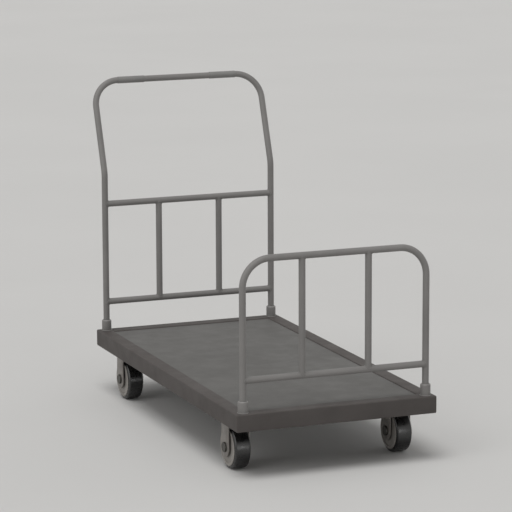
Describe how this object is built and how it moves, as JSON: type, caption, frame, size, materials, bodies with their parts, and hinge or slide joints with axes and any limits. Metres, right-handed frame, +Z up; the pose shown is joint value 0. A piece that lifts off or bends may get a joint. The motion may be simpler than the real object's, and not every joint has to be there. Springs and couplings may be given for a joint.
{
  "type": "industrial platform trolley",
  "caption": "Platform trolley with a rimmed steel deck on casters, a tall leaning push handle at one end and a low guard hoop at the other.",
  "frame": {"origin": "on the floor, under the middle of the whole trolley's bounding box", "axes": "+X across the deck, +Y along it towards the push handle, +Z up; the low guard is at the -Y end"},
  "size_m": [0.6, 1.2908, 0.9628],
  "materials": {
    "deck_paint": "satin grey paint, lightly scuffed on the load face",
    "rim_paint": "satin dark grey paint",
    "tube_paint": "satin grey powder coat",
    "underframe_paint": "satin dark grey paint, out of sight",
    "grip_vinyl": "soft grey vinyl",
    "caster_steel": "zinc-plated pressed steel",
    "fastener_steel": "dull plated steel",
    "race_steel": "ground steel with a film of grease",
    "wheel_plastic": "moulded grey nylon",
    "bush_plastic": "pale acetal",
    "tyre_rubber": "glossy black rubber"
  },
  "bodies": {
    "deck": {"deck_panel": "deck_paint", "side_rail_left": "rim_paint", "side_rail_right": "rim_paint", "end_rail_front": "rim_paint", "end_rail_rear": "rim_paint", "caster_bearer_front": "underframe_paint", "caster_bearer_rear": "underframe_paint", "deck_stiffener_front": "underframe_paint", "deck_stiffener_rear": "underframe_paint", "socket_front_left": "tube_paint", "socket_front_right": "tube_paint", "socket_rear_left": "tube_paint", "socket_rear_right": "tube_paint", "fixed_bracket_left": "caster_steel", "axle_bolt_front_left": "fastener_steel", "axle_nut_front_left": "fastener_steel", "axle_sleeve_front_left": "race_steel", "swivel_plate_left": "caster_steel", "kingpin_left": "fastener_steel", "ball_race_left": "race_steel", "fixed_bracket_right": "caster_steel", "axle_bolt_front_right": "fastener_steel", "axle_nut_front_right": "fastener_steel", "axle_sleeve_front_right": "race_steel", "swivel_plate_right": "caster_steel", "kingpin_right": "fastener_steel", "ball_race_right": "race_steel"},
    "handle": {"handle_hoop": "tube_paint", "handle_upper_rail": "tube_paint", "handle_lower_rail": "tube_paint", "handle_bar_left": "tube_paint", "handle_bar_right": "tube_paint", "grip_left": "grip_vinyl", "grip_right": "grip_vinyl"},
    "guard": {"guard_hoop": "tube_paint", "guard_rail": "tube_paint", "guard_bar_left": "tube_paint", "guard_bar_right": "tube_paint"},
    "swivel_left": {"swivel_fork_left": "caster_steel", "axle_bolt_rear_left": "fastener_steel", "axle_nut_rear_left": "fastener_steel", "axle_sleeve_rear_left": "race_steel"},
    "swivel_right": {"swivel_fork_right": "caster_steel", "axle_bolt_rear_right": "fastener_steel", "axle_nut_rear_right": "fastener_steel", "axle_sleeve_rear_right": "race_steel"},
    "wheel_front_left": {"wheel_core_front_left": "wheel_plastic", "tyre_front_left": "tyre_rubber", "wheel_bush_front_left": "bush_plastic"},
    "wheel_front_right": {"wheel_core_front_right": "wheel_plastic", "tyre_front_right": "tyre_rubber", "wheel_bush_front_right": "bush_plastic"},
    "wheel_rear_left": {"wheel_core_rear_left": "wheel_plastic", "tyre_rear_left": "tyre_rubber", "wheel_bush_rear_left": "bush_plastic"},
    "wheel_rear_right": {"wheel_core_rear_right": "wheel_plastic", "tyre_rear_right": "tyre_rubber", "wheel_bush_rear_right": "bush_plastic"}
  },
  "joints": [
    {"name": "handle_lift", "type": "slide", "parent": "deck", "child": "handle", "axis": [0, 0, 1], "range_m": [0, 0.08]},
    {"name": "guard_lift", "type": "slide", "parent": "deck", "child": "guard", "axis": [0, 0, 1], "range_m": [0, 0.08]},
    {"name": "swivel_left", "type": "hinge", "parent": "deck", "child": "swivel_left", "pos_m": [-0.245, 0.3796, 0.06196], "axis": [0, 0, 1], "continuous": true},
    {"name": "swivel_right", "type": "hinge", "parent": "deck", "child": "swivel_right", "pos_m": [0.245, 0.3796, 0.06196], "axis": [0, 0, 1], "continuous": true},
    {"name": "wheel_front_left_spin", "type": "hinge", "parent": "deck", "child": "wheel_front_left", "pos_m": [-0.245, -0.4924, 0.06196], "axis": [1, 0, 0], "continuous": true},
    {"name": "wheel_front_right_spin", "type": "hinge", "parent": "deck", "child": "wheel_front_right", "pos_m": [0.245, -0.4924, 0.06196], "axis": [1, 0, 0], "continuous": true},
    {"name": "wheel_rear_left_spin", "type": "hinge", "parent": "swivel_left", "child": "wheel_rear_left", "pos_m": [-0.245, 0.4036, 0.06196], "axis": [1, 0, 0], "continuous": true},
    {"name": "wheel_rear_right_spin", "type": "hinge", "parent": "swivel_right", "child": "wheel_rear_right", "pos_m": [0.245, 0.4036, 0.06196], "axis": [1, 0, 0], "continuous": true}
  ]
}
